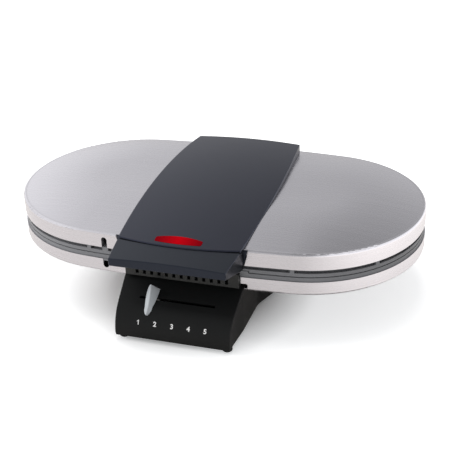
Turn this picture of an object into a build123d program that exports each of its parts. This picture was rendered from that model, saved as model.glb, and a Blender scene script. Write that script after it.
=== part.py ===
from build123d import *
import math
import os

os.makedirs("parts", exist_ok=True)

# Double waffle iron: two round waffle cavities side by side in an oval, steel clad body whose lid
# hinges at the rear. Millimetres, +X to the right, +Y to the rear, +Z up, table at z = 0. The model
# is drawn about the middle of the oval and moved at the end so that the middle of its box is x = y = 0.

# Plan of the oval body: four tangent arcs
cavity_x = 96.0
end_radius = 114.0
side_bulge = 4.2

# Heights, stacked from the table up
foot_stand = 5.6
base_height = 43.9
lower_band = 13.8
lower_ring_height = 4.5
parting_gap = 0.4
upper_ring_height = 3.8
vent_height = 4.0
upper_band = 16.3
dome_crown = 8.0

# Steel shells
sheet = 0.8
lower_floor = 1.0
rim_radius = 2.5
lower_edge_radius = 2.0
dome_span = 80.0
dome_start = 3.4
side_notch_x = -79.3
side_notch_width = 5.8
upper_notch_height = 11.0
lower_notch_depth = 9.2
notch_lug_depth = 1.8
window_left = 58.6
window_right = 64.3
window_round = 1.8
window_depth = 4.0

# Grey rings
ring_inset = 1.0
ring_width = 5.0
ring_rim = 2.0
ring_wall = 1.5
ring_groove = 2.0
ring_relief = 0.3
relief_width = 2.5
ledge_width = 10.0
ledge_height = 3.0
ledge_root = 1.0
skirt_width = 2.0
skirt_height = 5.0
rib_width = 4.0
rib_rise = 8.0
ring_step_height = 2.2
ring_step_depth = 4.0
step_gap = 1.0
ring_fit = 0.2
# Ribs between the upper ring and the steel: x along front and rear, angle on the end arcs
front_rib_x = (-97.0, -70.6, 106.0)
rear_rib_x = (-70.0, 70.0)
end_rib_angles = (-43.0, 0.0, 43.0, 137.0, 180.0, 223.0)
notch_rib_width = 6.2
rib_slit = 1.8
notch_slit = 3.6
slit_depth = 9.0

# Baking plates and waffle cavities
plate_gap = 0.4
plate_rim = 3.8
cavity_depth = 7.0
cavity_floor = 3.0
cavity_wall = 3.5
core_radius = 56.0
lobe_radius = 19.0
lobe_distance = 58.5
lobe_angle = 16.5
hearts = 5
divider_width = 3.2
divider_length = 62.0
peg_height = 4.5
peg_size = 6.6
peg_taper = 9.0
peg_pitch = 14.0
peg_first_row = 25.0
peg_margin = 4.6
peg_bury = 0.5

# Heating elements and reflectors
heater_radius = 55.0
heater_tube = 6.4
heater_gap_angle = 34.0
heater_leg = 9.0
terminal_radius = 2.2
reflector_radius = 79.0
reflector_sheet = 0.5
lower_reflector_wall = 4.0
reflector_air = 0.5

# Bridge cover
bridge_half_width = 65.2
bridge_widest_y = -22.0
bridge_side_radius = 1090.0
bridge_rear_set = 11.2
bridge_rear_bow = 2.0
bridge_rear_rise = 2.7
bridge_middle_rise = 5.1
bridge_middle_y = 28.0
bridge_front_drop = 2.5
bridge_front_set = 28.2
bridge_crown = 2.0
path_overrun = 5.0
path_rear_fall = 0.07
path_front_fall = 0.15
bar_margin = 8.0
bridge_wall = 2.5
bridge_skirt = 14.0
bridge_seat_gap = 0.4
bridge_front_wall = 2.1
bridge_edge = 1.0
seam_end_reach = 4.3
seam_bow = 8.5
seam_gap = 0.2
boss_radius = 4.0
bridge_screw_x = 35.0
bridge_screw_y = 25.0

# Handle
handle_reach = 38.6
handle_front_drop = 10.1
handle_lip_height = 8.3
handle_step = 1.2
handle_edge = 1.0
handle_wall = 3.2
handle_root_proud = 1.3
handle_pocket_proud = 3.3
handle_root_depth = 15.2
handle_root_inset = 10.2
handle_screw_x = 40.0
handle_opening_inset = 3.4
handle_opening_flare = 4.6
cheek_gap = 0.9
seat_gap = 0.1

# Lens and indicator lamp
lens_half_length = 23.2
lens_end_reach = 3.1
lens_end_width = 7.0
lens_end_round = 2.0
lens_rear_bow = 3.6
lens_front_bow = 1.6
lens_thickness = 2.7
lens_proud = 0.3
lens_edge = 0.25
lamp_radius = 3.0
lamp_round = 2.4
lamp_length = 17.0
lamp_set = 2.4
chamber_floor = 4.0
chamber_gap = 1.4
holder_base = 1.5
holder_half_width = 6.0
holder_grip = 1.0

# Base
base_wall = 2.5
base_reach = 37.6
base_front_half_width = 57.3
base_neck_half_width = 59.8
base_neck_set = 0.2
base_flare_set = 48.2
base_rear_half_width = 90.0
base_flare_end_y = 16.0
base_rear_set = 22.2
base_corner = 14.0
base_edge = 1.0
flare_radius = 24.0
panel_slope = 32.0
panel_arc_radius = 31.0
panel_arc_start = 2.4
cover_height = 2.0
cover_inset = 0.5
plinth_height = 6.7
plinth_depth = 14.2
plinth_seat_margin = 3.0
fit_gap = 0.4

# Front grille
grille_proud = 2.3
grille_thickness = 7.0
grille_half_width = 57.1
grille_bottom = 3.5
grille_top_gap = 0.3
grille_count = 13
grille_pitch = 7.5
groove_width = 3.2
groove_depth = 5.5
groove_bottom = 6.0
groove_height = 7.0

# Feet
foot_radius = 4.8
foot_side_margin = 5.3
foot_front_margin = 9.8
rear_foot_margin = 14.0
foot_stem_radius = 2.5
foot_edge = 1.0

# Hinge
hinge_back = 6.6
hinge_pin_radius = 2.5
running_gap = 0.05
knuckle_radius = 5.5
ear_radius = 6.2
ear_width = 12.0
arm_half_width = 33.6
arm_side_gap = 0.4
arm_thickness = 5.6
arm_top_margin = 2.3
arm_corner = 4.0
tower_shoulder = 4.0
tower_rear = 6.2
tower_gap = 0.6
tower_root = 20.0
backing_sheet = 2.0
backing_half_width = 28.0
backing_height = 12.0
arm_screw_x = 20.0
arm_screw_rise = 8.0
arm_screw_nip = 2.0
rear_drill = 20.0

# Browning slider and thermostat
slot_half_length = 37.6
slot_width = 2.6
slot_set = 21.0
slider_rest_x = -26.1
stem_width = 6.0
slider_gap = 0.35
carriage_width = 13.0
carriage_height = 12.0
carriage_sheet = 2.5
knob_length = 28.5
knob_top_offset = 10.6
knob_half_width = 6.3
knob_height = 12.0
knob_tip_height = 1.0
knob_tip_half_width = 0.8
knob_root = 5.0
knob_ridge_width = 0.8
knob_lean = 9.5
knob_steps = 9
pin_radius = 2.0
pin_set = 4.3
pin_overhang = 2.0
arm_plane = 24.0
fork_thickness = 3.0
fork_gap = 1.0
fork_wall = 2.5
fork_reach = 91.0
fork_start = 72.0
pivot_distance = 79.0
arm_turn_share = 0.95985
spindle_radius = 3.0
hub_radius = 7.0
spindle_length = 10.0
thermostat_width = 34.0
thermostat_depth = 28.0

# Small pieces in the base
terminal_size = (32.0, 18.0, 12.0)
terminal_place = (-48.0, 40.0)
terminal_hole = 2.2
fuse_radius = 2.2
fuse_length = 24.0
fuse_y = -20.0
clip_sheet = 0.8
clip_half_width = 4.0
lead_hole_radius = 6.0
lead_hole_y = 30.0
gland_x = -64.0
gland_z = 27.0
gland_bore = 3.7
gland_barrel = 6.0
gland_flange = 9.0
gland_flange_thickness = 2.5
gland_length = 14.0

# Screws
screw_radius = 1.5
screw_head = 3.2
screw_head_height = 1.8
screw_hole_gap = 0.1
screw_sink = 0.2
screw_bite = 3.5
screw_nip = 2.0
drive_length = 3.8
drive_width = 0.9
drive_depth = 1.0
base_screw_side = 11.8
base_screw_set = 18.2
rear_screw_side = 12.0
rear_screw_set = 26.0
shell_screw_x = 12.0
shell_screw_y = 70.0

# Levels worked out from the stack
z_base = foot_stand
z_housing = z_base + cover_height
z_lower_steel = z_base + base_height
z_lower_ring = z_lower_steel + lower_band
z_lower_face = z_lower_ring + lower_ring_height
z_upper_face = z_lower_face + parting_gap
z_upper_ring_top = z_upper_face + upper_ring_height
z_upper_steel = z_upper_ring_top + vent_height
z_rim = z_upper_steel + upper_band
z_dome = z_rim + dome_crown
z_parting = (z_lower_face + z_upper_face) / 2
plate_back = cavity_depth + cavity_floor
plate_radius = lobe_distance + lobe_radius + cavity_wall
z_lower_floor = z_lower_steel + lower_floor

# Arc centres of the oval
body_length = 2 * (cavity_x + end_radius)
half_depth = end_radius + side_bulge
side_centre = (cavity_x**2 - side_bulge**2) / (2 * side_bulge)
side_radius = half_depth + side_centre
arc_distance = side_radius - end_radius

# Places that follow the oval and the stack
upper_ledge_z = z_upper_face + plate_rim + running_gap
upper_ledge_top = upper_ledge_z + ledge_height
bridge_rear_y = half_depth - bridge_rear_set
bridge_front_y = -half_depth + bridge_front_set
bridge_top_rear = z_dome + bridge_rear_rise
bridge_top_middle = z_dome + bridge_middle_rise
bridge_top_front = z_dome - bridge_front_drop
seam_end_y = -half_depth - seam_end_reach
ring_step_half_width = bridge_half_width + 2 * bridge_seat_gap
handle_front_y = -half_depth - handle_reach
handle_top_front = z_dome - handle_front_drop
handle_root_bottom_y = -half_depth - handle_root_proud
handle_pocket_rear = -half_depth - handle_pocket_proud
handle_root_rear = -half_depth + handle_root_depth
handle_root_half_width = bridge_half_width - handle_root_inset
handle_opening_half_width = bridge_half_width - handle_opening_inset
handle_opening_y = -half_depth + rim_radius
lens_end_y = -half_depth - lens_end_reach
lamp_y = -half_depth + lamp_set
chamber_bottom = z_upper_steel + chamber_floor
lamp_z = chamber_bottom + holder_base + lamp_radius
base_front_y = -half_depth - base_reach
base_neck_y = -half_depth + base_neck_set
base_flare_y = -half_depth + base_flare_set
base_rear_y = half_depth - base_rear_set
plinth_rear_y = -half_depth + plinth_depth
grille_front_y = -half_depth - grille_proud
grille_rear_y = grille_front_y + grille_thickness
hinge_y = half_depth + hinge_back
hinge_z = z_parting
arm_top = z_rim - arm_top_margin
arm_screw_z = z_upper_steel + arm_screw_rise
ear_out = arm_half_width + arm_side_gap + ear_width
tower_half_width = ear_out + tower_shoulder
slot_y = base_front_y + slot_set
pin_y = slot_y + pin_set
pivot_y = pin_y + pivot_distance

# Cutters run past the faces they open
overrun = 1.0
reach = 400.0


def closed(edges):
    """Face inside a closed run of edges."""
    return Face(Wire(edges))


def oval(inset, z):
    """Plan of the body drawn in by inset, as a face at height z."""
    end = end_radius - inset
    tangent_x = cavity_x + end * cavity_x / arc_distance
    tangent_y = end * side_centre / arc_distance
    tip = body_length / 2 - inset
    side = half_depth - inset
    edges = [
        ThreePointArc((tangent_x, tangent_y), (tip, 0), (tangent_x, -tangent_y)),
        ThreePointArc((tangent_x, -tangent_y), (0, -side), (-tangent_x, -tangent_y)),
        ThreePointArc((-tangent_x, -tangent_y), (-tip, 0), (-tangent_x, tangent_y)),
        ThreePointArc((-tangent_x, tangent_y), (0, side), (tangent_x, tangent_y)),
    ]
    return Pos(0, 0, z) * closed(edges)


def oval_block(inset, low, high):
    """Upright solid on the oval plan."""
    return extrude(oval(inset, low), high - low, dir=(0, 0, 1))


def oval_band(outer, inner, low, high):
    """Upright ring between two insets of the oval plan."""
    return oval_block(outer, low, high) - oval_block(inner, low - overrun, high + overrun)


def box(x0, x1, y0, y1, z0, z1):
    """Box between two corners."""
    return Pos((x0 + x1) / 2, (y0 + y1) / 2, (z0 + z1) / 2) * Box(x1 - x0, y1 - y0, z1 - z0)


def rod(radius, x, y, low, high):
    """Upright cylinder."""
    return Pos(x, y, (low + high) / 2) * Cylinder(radius, high - low)


def rod_along(axis, radius, centre, length):
    """Cylinder along X or Y."""
    turn = (0, 90, 0) if axis == "X" else (90, 0, 0)
    return Pos(*centre) * Rot(*turn) * Cylinder(radius, length)


def side_profile(points, half_width):
    """Solid with the given Y, Z outline, half_width to each side of x = 0."""
    outline = closed([Line((0, *a), (0, *b)) for a, b in zip(points, points[1:] + points[:1])])
    return extrude(outline, half_width, dir=(1, 0, 0), both=True)


def drive_cross():
    """Cutter for the cross recess in a screw's head, about the middle of the head's outer face."""
    bar = Box(drive_length, drive_width, 2 * drive_depth)
    return bar + Rot(0, 0, 90) * bar


def screw(x, y, head_z, up, length):
    """Upright screw with its head's outer face at head_z, pointing up or down."""
    sign = 1 if up else -1
    levels = sorted((head_z, head_z + sign * screw_head_height))
    head = rod(screw_head, x, y, *levels)
    ends = sorted((head_z + sign * screw_head_height, head_z + sign * length))
    return head + rod(screw_radius, x, y, *ends) - Pos(x, y, head_z) * drive_cross()


def screw_hole(x, y, low, high):
    """Clearance hole for a screw's shank."""
    return rod(screw_radius + screw_hole_gap, x, y, low, high)


def head_pocket(x, y, low, high):
    """Counterbore for a screw's head."""
    return rod(screw_head + screw_hole_gap, x, y, low, high)


# Steel shells


def dome_rise(inset):
    """Height of the lid's crown above its rim."""
    share = (inset - dome_start) / (dome_span - dome_start)
    return dome_crown * (1 - (1 - share) ** 2)


def dome(inset, drop):
    """Crown of the lid, drawn in by inset and lowered by drop."""
    steps = [dome_start + (dome_span - dome_start) * k / 4 for k in range(5)]
    return loft([oval(s + inset, z_rim - drop + dome_rise(s)) for s in steps])


def lid_outside():
    """Outer form of the lid's steel."""
    band = oval_block(0, z_upper_steel, z_rim)
    rim = band.edges().group_by(Axis.Z)[-1]
    return fillet(rim, rim_radius) + dome(0, 0)


def upright_slot(x, width, low, high, round_low):
    """Cutter through the front wall at x, with one round end."""
    radius = width / 2
    end_z = low + radius if round_low else high - radius
    straight = (end_z, high) if round_low else (low, end_z)
    block = box(x - radius, x + radius, -reach, -half_depth / 2, *straight)
    return block + rod_along("Y", radius, (x, -(reach + half_depth / 2) / 2, end_z), reach - half_depth / 2)


def flared(low, high, inset, rear, front):
    """Block that fills the gap for the handle's root between two heights, drawn in by inset."""
    slope = handle_opening_flare / upper_band
    half_low = handle_opening_half_width + slope * (low - z_upper_steel) - inset
    half_high = handle_opening_half_width + slope * (high - z_upper_steel) - inset
    corners = [(-half_low, rear, low), (half_low, rear, low)]
    corners += [(half_high, rear, high), (-half_high, rear, high)]
    outline = closed([Line(a, b) for a, b in zip(corners, corners[1:] + corners[:1])])
    return extrude(outline, rear - front, dir=(0, -1, 0))


def handle_opening():
    """Cutter for the gap in the lid's steel that the handle's root passes through."""
    gap = flared(z_upper_steel - overrun, z_rim + overrun, 0, handle_opening_y, -reach)
    under_cover = handle_root_half_width + fit_gap
    return gap + box(-under_cover, under_cover, -reach, handle_root_rear + fit_gap,
                     z_upper_steel - overrun, z_dome)


def make_upper_shell(outside):
    inside = oval_block(sheet, z_upper_steel - overrun, z_rim - sheet) + dome(sheet, sheet)
    shell = outside - inside - handle_opening()
    shell -= upright_slot(side_notch_x, side_notch_width, z_upper_steel - overrun,
                          z_upper_steel + upper_notch_height, False)
    for x, y in bridge_screw_places:
        shell -= screw_hole(x, y, z_rim, z_dome + overrun)
    for x in (-arm_screw_x, arm_screw_x):
        shell -= rod_along("Y", screw_radius + screw_hole_gap, (x, half_depth, arm_screw_z), rear_drill)
    return shell


def make_lower_shell():
    outside = oval_block(0, z_lower_steel, z_lower_ring)
    outside = fillet(outside.edges().group_by(Axis.Z)[0], lower_edge_radius)
    shell = outside - oval_block(sheet, z_lower_floor, z_lower_ring + overrun)
    half = grille_half_width + fit_gap
    shell -= box(-half, half, -reach, grille_rear_y + fit_gap,
                 z_lower_steel - overrun, z_lower_ring + overrun)
    window_top = z_lower_steel + plinth_height + fit_gap
    window = box(-window_left, window_right, -reach, -half_depth + window_depth,
                 z_lower_steel - overrun, window_top)
    shell -= fillet(window.edges().filter_by(Axis.Y).group_by(Axis.Z)[-1], window_round)
    shell -= box(-window_left, base_neck_half_width + fit_gap, -reach, plinth_rear_y + fit_gap,
                 z_lower_steel - overrun, window_top)
    shell -= upright_slot(side_notch_x, side_notch_width, z_lower_ring - lower_notch_depth,
                          z_lower_ring + overrun, True)
    for x, y in shell_screw_places:
        shell -= screw_hole(x, y, z_lower_steel - overrun, z_lower_floor + overrun)
    shell -= rod(lead_hole_radius, 0, lead_hole_y, z_lower_steel - overrun, z_lower_floor + overrun)
    return shell


# Grey rings

def rib_cutters():
    """Upright blocks that pick out where the ribs stand."""
    long = 2 * (ring_inset + ring_width) + end_radius / 10
    tall = z_dome - z_lower_steel
    places = [Pos(x, -half_depth, z_parting) * Rot(0, 0, 90) for x in front_rib_x]
    places += [Pos(x, half_depth, z_parting) * Rot(0, 0, 90) for x in rear_rib_x]
    for angle in end_rib_angles:
        turn = math.radians(angle)
        side = cavity_x if math.cos(turn) > 0 else -cavity_x
        x = side + end_radius * math.cos(turn)
        y = end_radius * math.sin(turn)
        places.append(Pos(x, y, z_parting) * Rot(0, 0, angle))
    blocks = [place * Box(long, rib_width, tall) for place in places]
    blocks.append(Pos(side_notch_x, -half_depth, z_parting) * Box(notch_rib_width, long, tall))
    return blocks


def make_upper_ring():
    outer = ring_inset
    inner = ring_inset + ring_width
    wall = inner - ring_wall
    groove_low = z_upper_ring_top - ring_groove
    step = ring_step_half_width
    ring = oval_band(outer, inner, z_upper_face, z_upper_ring_top)
    groove = oval_band(outer + ring_rim, wall, groove_low, z_upper_ring_top + overrun)
    ring -= groove - box(-step - ring_rim, step + ring_rim, -reach, 0, z_lower_steel, z_dome)
    ring += oval_band(wall, inner, z_upper_face, upper_ledge_top)
    ring += oval_band(wall, inner + ledge_width, upper_ledge_z, upper_ledge_top)
    rib_side = front_rib_x[0] + rib_width / 2
    notch_side = side_notch_x + notch_rib_width / 2
    for side, wide in ((rib_side, rib_slit), (notch_side, notch_slit)):
        ring -= box(side, side + wide, -reach, -half_depth + inner + slit_depth, z_upper_ring_top, z_dome)
    posts = oval_band(outer, inner, groove_low, z_upper_steel)
    posts += oval_band(sheet + ring_fit, inner, z_upper_steel, z_upper_steel + rib_rise)
    ring += [posts & block for block in rib_cutters()]
    ring -= box(-step, step, -reach, -half_depth + inner + ring_step_depth,
                z_upper_face - overrun, z_upper_face + ring_step_height)
    ring -= oval_band(outer - overrun, outer + relief_width,
                      z_upper_face - overrun, z_upper_face + ring_relief)
    ring -= upright_slot(side_notch_x, side_notch_width, z_upper_steel,
                         z_upper_steel + upper_notch_height, False)
    for x, y in plate_screw_places:
        ring -= screw_hole(x, y, z_upper_face, z_upper_steel + overrun)
    for x in (-handle_screw_x, handle_screw_x):
        ring -= screw_hole(x, handle_screw_y, upper_ledge_z - overrun, upper_ledge_top + overrun)
        ring -= head_pocket(x, handle_screw_y, upper_ledge_z - overrun, upper_ledge_z + screw_head_height)
    return ring


def make_lower_ring():
    outer = ring_inset
    inner = ring_inset + ring_width
    ring = oval_band(outer, inner, z_lower_ring, z_lower_face)
    ring -= oval_band(outer - overrun, outer + relief_width,
                      z_lower_face - ring_relief, z_lower_face + overrun)
    ledge_high = z_lower_face - plate_rim - running_gap
    ledge_low = ledge_high - ledge_height
    ledge = oval_band(inner - ledge_root, inner + ledge_width, ledge_low, ledge_high)
    ledge += oval_band(inner - ledge_root, inner, ledge_low, z_lower_ring + ledge_root)
    skirt_outer = sheet + ring_fit
    skirt = oval_band(skirt_outer, skirt_outer + skirt_width, z_lower_ring - skirt_height, z_lower_ring)
    half = grille_half_width + fit_gap
    behind_grille = box(-half, half, -reach, grille_rear_y + fit_gap, z_lower_steel, z_lower_ring)
    skirt -= behind_grille
    skirt -= upright_slot(side_notch_x, side_notch_width, z_lower_ring - skirt_height - overrun,
                          z_lower_ring, False)
    step = ring_step_half_width - step_gap
    raised = oval_band(outer, inner, z_lower_ring, z_lower_face + ring_step_height - ring_relief)
    raised &= box(-step, step, -reach, 0, z_lower_ring, z_upper_steel)
    lug = oval_band(ring_fit, inner, z_lower_ring - notch_lug_depth, z_lower_ring)
    half_lug = side_notch_width / 2 - ring_fit
    lug &= box(side_notch_x - half_lug, side_notch_x + half_lug, -reach, 0, z_lower_steel, z_upper_steel)
    ring = ring + ledge + skirt + raised + lug
    for x, y in plate_screw_places:
        ring -= screw_hole(x, y, z_lower_steel, z_lower_face)
    return ring


# Baking plates


def on_heart(axial, lateral):
    """Whether a peg at this place in a heart keeps its margin from the walls and dividers."""
    half_turn = math.pi / hearts
    clear_of_divider = (axial * math.tan(half_turn) - abs(lateral)) * math.cos(half_turn)
    lobe_x = lobe_distance * math.cos(math.radians(lobe_angle))
    lobe_y = lobe_distance * math.sin(math.radians(lobe_angle))
    in_core = math.hypot(axial, lateral) < core_radius - peg_margin
    in_lobe = math.hypot(axial - lobe_x, abs(lateral) - lobe_y) < lobe_radius - peg_margin
    return clear_of_divider > divider_width / 2 + peg_margin and (in_core or in_lobe)


def peg():
    """One square peg hanging from z = 0 down."""
    half = peg_size / 2
    tip = half - peg_height * math.tan(math.radians(peg_taper))
    top = Pos(0, 0, peg_bury) * Rectangle(2 * half, 2 * half)
    foot = Pos(0, 0, -peg_height) * Rectangle(2 * tip, 2 * tip)
    return loft([foot.face(), top.face()], ruled=True)


def waffle_space():
    """Space of one heart waffle's upper half: open at z = 0, its roof at the cavity's depth."""
    outline = Circle(core_radius)
    step = 360 / hearts
    for heart in range(hearts):
        for side in (-1, 1):
            turn = math.radians(90 + step * heart + side * lobe_angle)
            lobe = Pos(lobe_distance * math.cos(turn), lobe_distance * math.sin(turn))
            outline += lobe * Circle(lobe_radius)
    space = extrude(outline, cavity_depth + overrun, dir=(0, 0, 1)).moved(Location((0, 0, -overrun)))
    solids = []
    one_peg = peg()
    for heart in range(hearts):
        turn = Rot(0, 0, 90 + step * heart)
        divider = box(0, divider_length, -divider_width / 2, divider_width / 2,
                      cavity_depth - peg_height, cavity_depth + overrun)
        solids.append(turn * Rot(0, 0, step / 2) * divider)
        for row in range(5):
            for column in range(-2, 3):
                axial = peg_first_row + row * peg_pitch
                lateral = column * peg_pitch
                if on_heart(axial, lateral):
                    solids.append(turn * Pos(axial, lateral, cavity_depth) * one_peg)
    return space - solids


def make_upper_plate(space):
    plate = oval_block(ring_inset + ring_width + plate_gap, z_upper_face, z_upper_face + plate_rim)
    for x in (-cavity_x, cavity_x):
        plate += rod(plate_radius, x, 0, z_upper_face, z_upper_face + plate_back)
    plate -= [Pos(x, 0, z_upper_face) * space for x in (-cavity_x, cavity_x)]
    for x, y in plate_screw_places:
        plate -= screw_hole(x, y, z_upper_face - overrun, z_upper_steel)
        plate -= head_pocket(x, y, z_upper_face - overrun, z_upper_face + screw_head_height + screw_sink)
    return plate


def flipped(shape):
    """The same shape turned over about the parting plane."""
    return mirror(shape, about=Plane.XY.offset(z_parting))


# Heating elements and reflectors


def make_heater(x, z):
    """Round tubular heater, open towards the middle of the iron, with its two terminal legs."""
    side = 1 if x > 0 else -1
    turn = math.radians(heater_gap_angle / 2)
    end_x = -side * heater_radius * math.cos(turn)
    end_y = heater_radius * math.sin(turn)
    path = ThreePointArc((end_x, end_y), (side * heater_radius, 0), (end_x, -end_y))
    ring = sweep(Plane(origin=path @ 0, z_dir=path % 0) * Circle(heater_tube / 2).face(), path=path)
    out = path % 1
    for start, way in ((path @ 0, path % 0 * -1), (path @ 1, out)):
        middle = start + way * heater_leg / 2
        leg = Plane(origin=middle, z_dir=way) * Cylinder(terminal_radius, heater_leg)
        ring += leg
    return Pos(x, 0, z) * ring


def make_reflector(x, base_z, wall, up):
    """Shallow round tray of sheet with its wall pointing up or down."""
    low, high = (base_z, base_z + wall) if up else (base_z - wall, base_z)
    tray = rod(reflector_radius, x, 0, low, high)
    hollow = (low + reflector_sheet, high + overrun) if up else (low - overrun, high - reflector_sheet)
    return tray - rod(reflector_radius - reflector_sheet, x, 0, *hollow)


# Bridge cover and handle


def bridge_path():
    """Line of the cover's side edge in side view, from the rear forward."""
    points = [
        (0, bridge_rear_y + path_overrun, bridge_top_rear - path_overrun * path_rear_fall),
        (0, bridge_middle_y, bridge_top_middle),
        (0, bridge_front_y, bridge_top_front),
        (0, handle_front_y - path_overrun, handle_top_front - path_overrun * path_front_fall),
    ]
    return Spline(*points)


def arched(drop, depth):
    """Arched bar under the cover's top surface, from drop below it to depth further down."""
    path = bridge_path()
    wide = bridge_half_width + bar_margin
    edge = bridge_crown * (1 - (wide / bridge_half_width) ** 2) - drop
    low = -drop - depth
    outline = [
        ThreePointArc((-wide, edge), (0, bridge_crown - drop), (wide, edge)),
        Line((wide, edge), (wide, low)),
        Line((wide, low), (-wide, low)),
        Line((-wide, low), (-wide, edge)),
    ]
    section = Plane(origin=path @ 0, x_dir=(1, 0, 0), z_dir=path % 0) * closed(outline)
    return sweep(section, path=path)


def bridge_half(y):
    """Half width of the cover and handle at y."""
    return bridge_half_width - (y - bridge_widest_y) ** 2 / (2 * bridge_side_radius)


def barrel(front, front_bow, rear, rear_bow, inset):
    """Upright block on the cover's plan between two ends, drawn in at the sides by inset."""
    middle = (front + rear) / 2
    wide_front = bridge_half(front) - inset
    wide_rear = bridge_half(rear) - inset
    wide_middle = bridge_half(middle) - inset
    edges = [
        ThreePointArc((wide_rear, rear), (wide_middle, middle), (wide_front, front)),
        ThreePointArc((-wide_front, front), (-wide_middle, middle), (-wide_rear, rear)),
    ]
    if front_bow:
        edges.append(ThreePointArc((wide_front, front), (0, front - front_bow), (-wide_front, front)))
    else:
        edges.append(Line((wide_front, front), (-wide_front, front)))
    if rear_bow:
        edges.append(ThreePointArc((-wide_rear, rear), (0, rear + rear_bow), (wide_rear, rear)))
    else:
        edges.append(Line((-wide_rear, rear), (wide_rear, rear)))
    return extrude(closed(edges), 2 * z_dome, dir=(0, 0, 1))


def upper_face(solid):
    """Highest face of a solid that looks up."""
    return max((face for face in solid.faces() if face.normal_at().Z > 0.5), key=lambda face: face.center().Z)


def lens_block(inset):
    """Upright block on the lens's boat-shaped plan, drawn in by inset."""
    half = lens_half_length - inset
    rear = lens_end_y + lens_end_width / 2 - inset
    front = lens_end_y - lens_end_width / 2 + inset
    face = closed([
        ThreePointArc((-half, rear), (0, rear + lens_rear_bow), (half, rear)),
        Line((half, rear), (half, front)),
        ThreePointArc((half, front), (0, front - lens_front_bow), (-half, front)),
        Line((-half, front), (-half, rear)),
    ])
    face = fillet(face.vertices(), lens_end_round)
    return extrude(face, 2 * z_dome, dir=(0, 0, 1))


def make_bridge(outside):
    form = barrel(seam_end_y, seam_bow, bridge_rear_y, bridge_rear_bow, 0)
    cover = arched(0, bridge_skirt) & form
    cover = fillet(upper_face(cover).edges(), bridge_edge)
    room = barrel(seam_end_y + bridge_wall, seam_bow, bridge_rear_y - bridge_wall,
                  bridge_rear_bow, bridge_wall)
    cover -= arched(bridge_wall, reach / 4) & room
    bosses = [rod(boss_radius, x, y, z_rim, bridge_top_middle) for x, y in bridge_screw_places]
    bosses = [boss & arched(bridge_wall / 2, reach / 4) for boss in bosses]
    cover -= outside.moved(Location((0, 0, bridge_seat_gap)))
    skirt_end = -half_depth + rim_radius + bridge_front_wall
    front_zone = box(-reach, reach, -reach, skirt_end, 0, 2 * z_dome)
    cover -= arched(bridge_wall, reach / 4) & front_zone
    cover += [boss - box(-reach, reach, -reach, reach, 0, z_dome) for boss in bosses]
    for x, y in bridge_screw_places:
        cover -= screw_hole(x, y, z_rim, z_dome + screw_bite)
    return cover - lens_block(0)


def make_lens():
    lens = arched(-lens_proud, lens_thickness) & lens_block(fit_gap / 4)
    return fillet(upper_face(lens).edges(), lens_edge)


def lamp_chamber(low):
    """Room for the lamp in the handle's root, open upward to the lens."""
    wide = lamp_length / 2 + chamber_gap
    deep = lamp_radius + chamber_gap
    return box(-wide, wide, lamp_y - deep, lamp_y + deep, low, 2 * z_dome)


def make_lamp():
    lamp = rod_along("X", lamp_radius, (0, lamp_y, lamp_z), lamp_length)
    return fillet(lamp.edges().filter_by(GeomType.CIRCLE), lamp_round)


def make_lamp_holder():
    deep = lamp_radius + holder_grip
    block = box(-holder_half_width, holder_half_width, lamp_y - deep, lamp_y + deep, chamber_bottom, lamp_z)
    return block - rod_along("X", lamp_radius + running_gap, (0, lamp_y, lamp_z), 2 * lamp_length)


def make_handle():
    form = barrel(handle_front_y, 0, handle_pocket_rear + handle_wall, 0, 0)
    bar = arched(handle_step, 3 * handle_lip_height) & form
    lip_low = handle_top_front - handle_lip_height
    root_low = z_upper_ring_top + seat_gap
    keep = side_profile([
        (-reach, lip_low),
        (handle_front_y, lip_low),
        (handle_root_bottom_y, root_low),
        (handle_root_rear, root_low),
        (handle_root_rear, 2 * z_dome),
        (-reach, 2 * z_dome),
    ], reach)
    bar &= keep
    bar = fillet([edge for edge in bar.edges() if (edge @ 0.5).Y < handle_pocket_rear], handle_edge)
    pocket = barrel(handle_front_y + handle_wall, 0, handle_pocket_rear, 0, handle_wall)
    bar -= arched(handle_step + handle_wall, reach / 4) & pocket
    ring_back = -half_depth + ring_inset + ring_width - ring_wall - seat_gap
    half = handle_root_half_width
    root = box(-half, half, handle_pocket_rear, ring_back, root_low, z_rim)
    root += box(-half, half, ring_back, handle_root_rear, upper_ledge_top, z_rim)
    filler = flared(root_low, z_rim, cheek_gap, handle_opening_y - seat_gap, handle_root_bottom_y)
    root += filler & oval_block(seat_gap, root_low, z_rim)
    bar += root & arched(bridge_wall + seat_gap, reach / 4)
    behind = barrel(seam_end_y - seam_gap, seam_bow, bridge_rear_y, 0, -bar_margin)
    bar -= arched(-bar_margin, bar_margin + bridge_wall + seat_gap) & behind
    bar -= lamp_chamber(chamber_bottom)
    for x in (-handle_screw_x, handle_screw_x):
        bar -= screw_hole(x, handle_screw_y, upper_ledge_top - overrun, upper_ledge_top + screw_bite)
    return bar


# Base


def base_plan(inset):
    """Plan of the stand: narrow in front, wider at the rear."""
    corners = [
        (base_neck_half_width, base_neck_y),
        (base_neck_half_width, base_flare_y),
        (base_rear_half_width, base_flare_end_y),
        (base_rear_half_width, base_rear_y),
    ]
    right = [(base_front_half_width, base_front_y)] + corners
    left = [(-x, y) for x, y in reversed(right)]
    loop = right + left
    face = closed([Line(a, b) for a, b in zip(loop, loop[1:] + loop[:1])])
    hollows = [v for v in face.vertices() if abs(v.Y - base_flare_y) < 1]
    face = fillet(hollows, flare_radius)
    corners = [v for v in face.vertices() if abs(abs(v.X) - base_rear_half_width) < 1]
    face = fillet(corners, base_corner)
    return offset(face, amount=-inset, kind=Kind.INTERSECTION) if inset else face


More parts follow.
